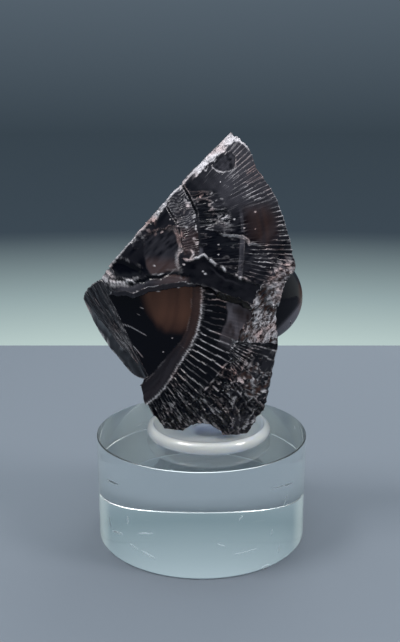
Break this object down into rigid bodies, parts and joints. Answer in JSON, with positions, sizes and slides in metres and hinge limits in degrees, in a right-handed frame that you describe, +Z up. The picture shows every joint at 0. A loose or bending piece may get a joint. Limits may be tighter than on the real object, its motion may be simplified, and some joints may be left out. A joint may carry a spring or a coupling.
{
  "type": "shungite specimen on stand",
  "caption": "Glassy black shungite shard with conchoidal breaks, cradled upright by an opal-glass dish on a clear round acrylic block.",
  "frame": {"origin": "centre of the acrylic block's underside", "axes": "+Z up along the block's axis, -Y towards the viewer who faces the stone's two main breaks, +X to that viewer's right"},
  "size_m": [0.0533, 0.05, 0.0949],
  "materials": {
    "clear_acrylic": "cast clear acrylic, polished, with fine handling scratches",
    "opal_glass": "milky opalescent glass, bluish with warm lights, polished",
    "black_shungite": "natural broken surface, black and glassy, rough sparkling hackle along the ridges"
  },
  "bodies": {
    "root": {"acrylic_block": "clear_acrylic", "opal_glass_dish": "opal_glass", "shungite_stone": "black_shungite"}
  },
  "joints": []
}
